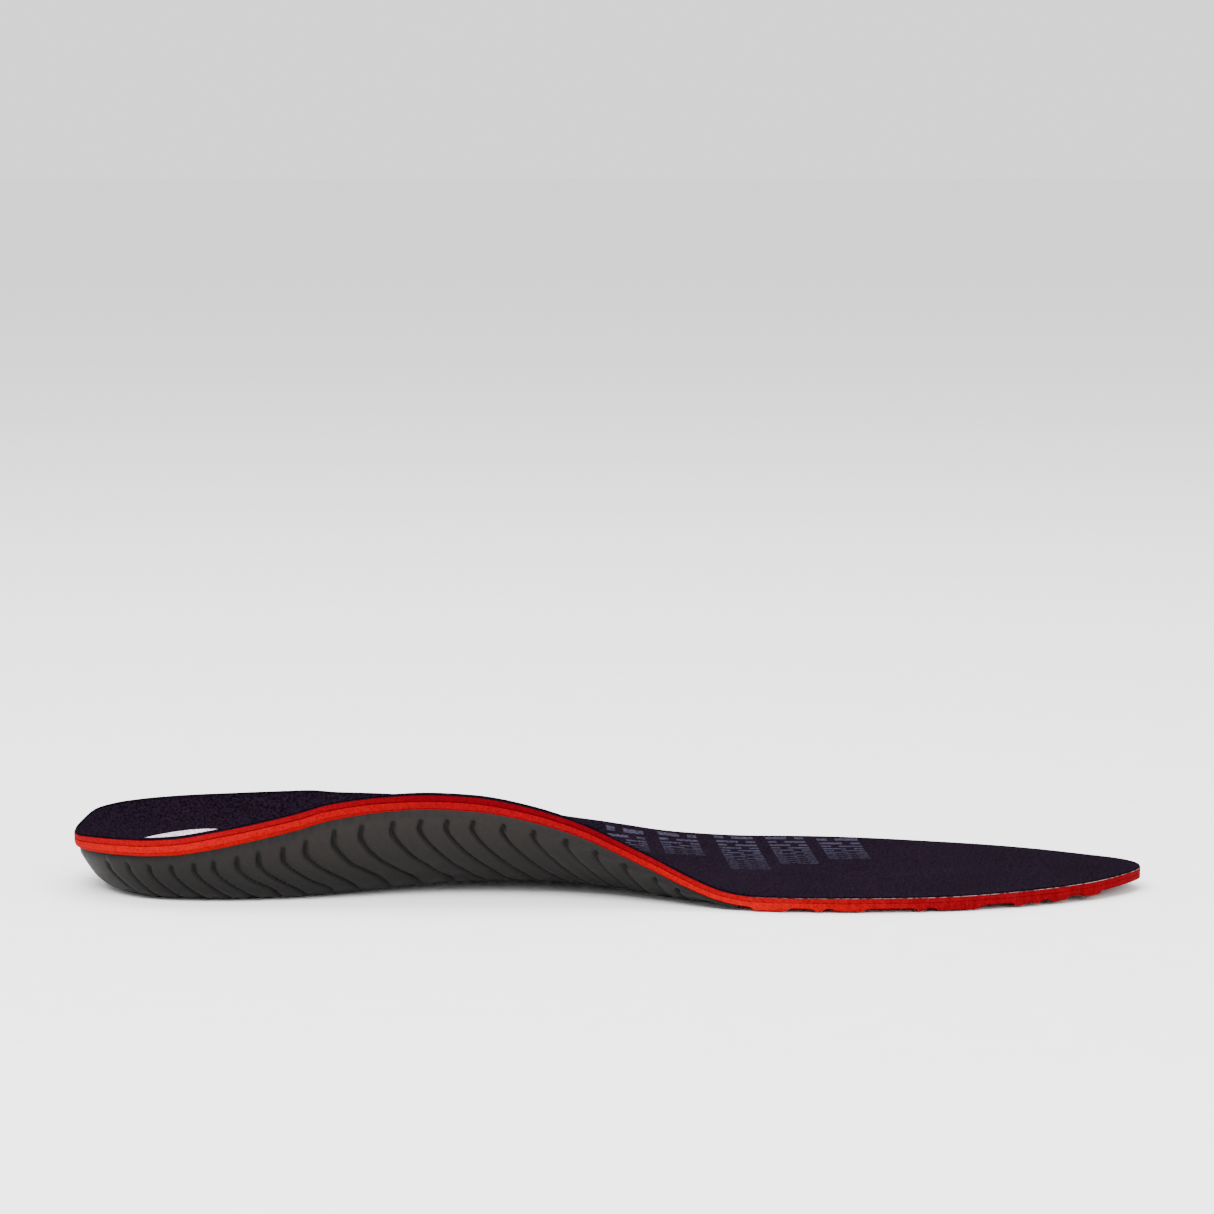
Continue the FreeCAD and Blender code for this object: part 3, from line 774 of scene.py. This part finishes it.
def knit_finish():
    """Dark knit: fine loops, speckled yarn and a faint sheen."""
    f = Finish("cover_knit")
    weave = knit_heights(f)
    speckle = f.noise(f.place, 1500.0, 2.0)
    patch = f.noise(f.place, 38.0, 3.0)
    base = f.ramp(speckle, (0.36, (0.0016, 0.0009, 0.0020)), (0.62, (0.0078, 0.0046, 0.0092)))
    tone = f.ramp(patch, (0.35, (0.86, 0.84, 0.86)), (0.70, (1.12, 1.06, 1.14)))
    colour = f.mixed(1.0, base, tone, "MULTIPLY")
    grain = f.noise(f.place, 900.0, 2.0)
    normal = f.bumped(weave, 0.35, 0.00022)
    normal = f.bumped(grain, 0.30, 0.00018, normal)
    return f.finish(colour, 0.94, normal, Sheen_Weight=0.008, Sheen_Roughness=0.6,
                    Sheen_Tint=(0.66, 0.50, 0.70, 1.0), Specular_IOR_Level=0.0)


def foam_finish(name, rear, middle, front, cell_size, depth):
    """Cut or moulded foam: fine cells, faint streaks, and a tone that shifts along the insole."""
    f = Finish(name)
    along = f.add("ShaderNodeSeparateXYZ", Vector=f.place).outputs["X"]
    forward = f.ranged(along, 0.010, 0.060, 0.0, 1.0)
    share = f.ranged(along, -0.145, 0.145, 0.0, 1.0)
    body = f.ramp(share, (0.06, rear), (0.34, middle), (0.50, middle), (0.62, rear), (0.80, front))
    cells = f.cells(f.place, 1 / cell_size)
    fine = f.noise(f.place, 1600.0, 3.0)
    streak = f.noise(f.stretched(900.0, 900.0, 140.0), 1.0, 3.0)
    spots = f.ramp(fine, (0.34, (0.66, 0.60, 0.60)), (0.60, (1.06, 1.05, 1.05)))
    toned = f.mixed(0.75, body, spots, "MULTIPLY")
    worn = f.ramp(streak, (0.36, (0.72, 0.66, 0.66)), (0.58, (1.03, 1.02, 1.02)))
    colour = f.mixed(f.times(forward, 0.7), toned, worn, "MULTIPLY")
    normal = f.bumped(cells, 0.45, depth)
    normal = f.bumped(streak, 0.25, depth, normal)
    return f.finish(colour, f.ranged(fine, 0.3, 0.7, 0.72, 0.9), normal, Specular_IOR_Level=0.02)


def cradle_finish():
    """Moulded cradle: painted shade that darkens it towards the ground, and painted shade in its grooves
    and crack.
    """
    f = Finish("cradle_moulded")
    parts = f.add("ShaderNodeSeparateXYZ", Vector=f.place)
    # Painted shade: the colour darkens from the rim down towards the ground, where the wall faces down.
    height = f.ranged(parts.outputs["Z"], 0.001, 0.022, 0.0, 1.0)
    base = f.mixed(height, (0.0034, 0.0032, 0.0030), (0.0118, 0.0094, 0.0086))
    patch = f.noise(f.place, 60.0, 4.0)
    tone = f.ramp(patch, (0.35, (0.88, 0.87, 0.87)), (0.68, (1.10, 1.09, 1.08)))
    grain = f.noise(f.place, 1100.0, 3.0)
    fleck = f.ramp(grain, (0.33, (0.80, 0.80, 0.80)), (0.62, (1.08, 1.08, 1.08)))
    colour = f.mixed(0.8, f.mixed(1.0, base, tone, "MULTIPLY"), fleck, "MULTIPLY")
    # Painted shade: the grooves and the crack under the foam are mixed towards near black.
    painted_shade = f.add("ShaderNodeAttribute", {"attribute_name": "painted_shade"}).outputs["Fac"]
    colour = f.mixed(f.times(painted_shade, 0.94), colour, (0.0012, 0.0011, 0.0011))
    normal = f.bumped(grain, 0.25, 0.00012)
    return f.finish(colour, f.ranged(patch, 0.3, 0.7, 0.52, 0.68), normal, Specular_IOR_Level=0.14)


def plain_finish(name, low, high, roughness, grain_size, **constants):
    """A moulded plastic or gel with a faint grain and slow changes of tone."""
    f = Finish(name)
    tone = f.noise(f.place, 90.0, 3.0)
    grain = f.noise(f.place, 1 / grain_size, 2.0)
    colour = f.ramp(tone, (0.35, low), (0.65, high))
    normal = f.bumped(grain, 0.15, 0.0001)
    return f.finish(colour, f.ranged(grain, 0.3, 0.7, roughness - 0.05, roughness + 0.05), normal,
                    **constants)


def paint(obj, material):
    """Gives an object one material in place of any it has."""
    obj.data.materials.clear()
    obj.data.materials.append(material)


paint(cover, knit_finish())
paint(upper_foam, foam_finish("foam_upper", (0.215, 0.0002, 0.0030), (0.092, 0.0005, 0.0030),
                              (0.128, 0.0008, 0.0035), 0.0006, 0.00012))
paint(lower_foam, foam_finish("foam_lower", (0.300, 0.0, 0.0016), (0.160, 0.0003, 0.0030),
                              (0.128, 0.0008, 0.0035), 0.0005, 0.00014))
paint(cradle, cradle_finish())


# ---------------------------------------------------------------- prints on the cover
FILM = 0.00005
# Each row of dashes: the stations that it lies between, and how far in, in mm, its last dash is.
PRINT_ROWS = [(142.2, 152.4, 12.0), (156.3, 167.0, 11.0), (172.0, 182.7, -7.0), (186.2, 196.6, 2.0),
              (200.3, 211.6, 8.6)]
ROW_SHEAR = 0.074
# Widths of the first and last dashes and the power they fall by, and the step from one dash to the
# next: a share of its width and a fixed part. BREAKS are the places along a dash where its break
# comes, in turn.
THICKEST, THINNEST, THINNING = 3.6, 0.5, 1.3
STEP_SHARE, STEP_PART = 1.6, 0.7
BREAKS = [0.34, 0.66]
HALF_BREAK = 1.1
# The clear border outside the rows, and the stations beside a row that count for it.
PRINT_BORDER, ROW_SIDE = 2.5, 2
# Largest steps of the prints' own grids, across and along a dash and across a ring, in mm, and the
# points round a ring.
ACROSS_STEP, ALONG_STEP, RING_STEP = 0.6, 0.9, 0.8
RING_POINTS = 97
HEEL_PRINT_MIDDLE = (cad_low.x + 0.036, -0.0028)
HEEL_PRINT_BANDS = [(0.6, 9.0), (11.5, 12.8), (15.0, 21.5)]


def draped(name, patches):
    """Thin prints that follow the cover: each patch is a grid of plan points."""
    mesh = cover.data
    search = BVHTree.FromPolygons([tuple(v.co) for v in mesh.vertices],
                                  [tuple(p.vertices) for p in mesh.polygons])
    points, faces = [], []
    for patch in patches:
        rows, columns = patch.shape[:2]
        start = len(points)
        for x, y in patch.reshape(-1, 2):
            points.append((x, y, struck(search, x, y) + FILM))
        for r in range(rows - 1):
            for c in range(columns - 1):
                corner = start + r * columns + c
                faces.append((corner, corner + columns, corner + columns + 1, corner + 1))
    return new_piece(name, points, faces)


def outer_limit(start, end):
    """How far out, in mm, a print may reach on the outer side between two stations."""
    station = (RAW_RING[:, 0] - cad_low.x) / MM
    near = (station > start - ROW_SIDE) & (station < end + ROW_SIDE) & (RAW_RING[:, 1] > 0)
    return RAW_RING[near, 1].min() / MM - PRINT_BORDER


def bar_patches():
    """Five rows of plain dashes, laid like bricks, that grow thinner inwards on a slight slant."""
    patches = []
    for row, (start, end, last) in enumerate(PRINT_ROWS):
        first = outer_limit(start, end)
        y, k = first, row
        while y - THINNEST > last:
            share = (first - y) / (first - last)
            width = max(THICKEST * (1 - share) ** THINNING, THINNEST)
            middle = start + (end - start) * BREAKS[k % len(BREAKS)]
            across = np.linspace(y, y - width, max(2, int(width / ACROSS_STEP) + 1))
            for low, high in ((start, middle - HALF_BREAK), (middle + HALF_BREAK, end)):
                length = np.linspace(low, high, max(2, int((high - low) / ALONG_STEP) + 1))
                plan = np.stack(np.meshgrid(length, across, indexing="ij"), axis=-1)
                plan[..., 0] += cad_low.x / MM + (first - plan[..., 1]) * ROW_SHEAR
                patches.append(plan * MM)
            y -= width * STEP_SHARE + STEP_PART
            k += 1
    return patches


def ring_patches(middle, bands):
    """Round bands about a plan point, from their inner and outer radii in mm."""
    patches = []
    for low, high in bands:
        radii = np.linspace(low, high, max(3, int((high - low) / RING_STEP) + 1))
        turns = np.linspace(0, 2 * math.pi, RING_POINTS)
        plan = np.stack([middle[0] + radii[:, None] * MM * np.cos(turns),
                         middle[1] + radii[:, None] * MM * np.sin(turns)], axis=-1)
        patches.append(plan)
    return patches


def print_finish(name, low, high):
    """Ink on knit: the weave shows through as small gaps."""
    f = Finish(name)
    worn = f.noise(f.place, 1300.0, 2.0)
    patch = f.noise(f.place, 150.0, 3.0)
    ink = f.ramp(worn, (0.36, low), (0.56, high))
    tone = f.ramp(patch, (0.30, (0.78, 0.78, 0.80)), (0.65, (1.0, 1.0, 1.0)))
    normal = f.bumped(knit_heights(f), 0.3, 0.0002)
    return f.finish(f.mixed(1.0, ink, tone, "MULTIPLY"), 0.9, normal, Specular_IOR_Level=0.0)


heel_print = draped("heel_print", ring_patches(HEEL_PRINT_MIDDLE, HEEL_PRINT_BANDS))
row_print = draped("row_print", bar_patches())
paint(heel_print, print_finish("print_light", (0.30, 0.25, 0.32), (0.62, 0.54, 0.64)))
paint(row_print, print_finish("print_lilac", (0.010, 0.009, 0.015), (0.038, 0.034, 0.054)))


def backing_finish():
    """A thin scrim under the knit: dark at the back, pale where the edge is cut in front."""
    f = Finish("cover_backing")
    along = f.add("ShaderNodeSeparateXYZ", Vector=f.place).outputs["X"]
    forward = f.ranged(along, 0.030, 0.075, 0.0, 1.0)
    thread = f.noise(f.place, 700.0, 2.0)
    pale = f.ramp(thread, (0.42, (0.060, 0.016, 0.020)), (0.60, (0.26, 0.17, 0.16)))
    return f.finish(f.mixed(forward, (0.010, 0.004, 0.007), pale), 0.9, None, Specular_IOR_Level=0.0)


paint(backing, backing_finish())

# ---------------------------------------------------------------- inner pieces
gel = plain_finish("gel_pads", (0.30, 0.010, 0.014), (0.38, 0.015, 0.020), 0.22, 0.0011,
                   Subsurface_Weight=0.15, Subsurface_Scale=0.004)
shank = plain_finish("arch_plate_moulded", (0.022, 0.022, 0.024), (0.034, 0.034, 0.036), 0.42,
                     0.0007)
paint(ball_pad, gel)
paint(heel_pad, gel)
paint(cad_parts["arch_plate"], shank)

# ---------------------------------------------------------------- floor
FLOOR_LEVEL = -0.0005
FLOOR_CORNERS = [(-3, -3), (3, -3), (3, 4), (-3, 4)]
floor_mesh = bpy.data.meshes.new("floor")
floor_mesh.from_pydata([(x, y, FLOOR_LEVEL) for x, y in FLOOR_CORNERS], [], [(0, 1, 2, 3)])
floor = bpy.data.objects.new("floor", floor_mesh)
bpy.context.scene.collection.objects.link(floor)
paint(floor, plain_finish("floor_white", (0.90, 0.90, 0.90), (0.92, 0.92, 0.92), 0.9, 0.01))

# ---------------------------------------------------------------- riding on the frame
for piece, slot in ((cover, "cover_knit"), (backing, "cover_knit"), (row_print, "cover_knit"),
                    (upper_foam, "upper_foam"), (lower_foam, "lower_foam"), (ball_pad, "gel")):
    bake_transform(piece)
for piece, slot in ((heel_print, "cover_knit"), (cradle, "cradle"), (heel_pad, "gel")):
    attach(piece, REAR)
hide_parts("top_cover_rear", "top_cover_front")
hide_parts("upper_foam_rear", "upper_foam_front")
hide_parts("lower_foam_rear", "lower_foam_front")
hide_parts("support_cradle")
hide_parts("ball_gel_pad")
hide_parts("heel_gel_pad")
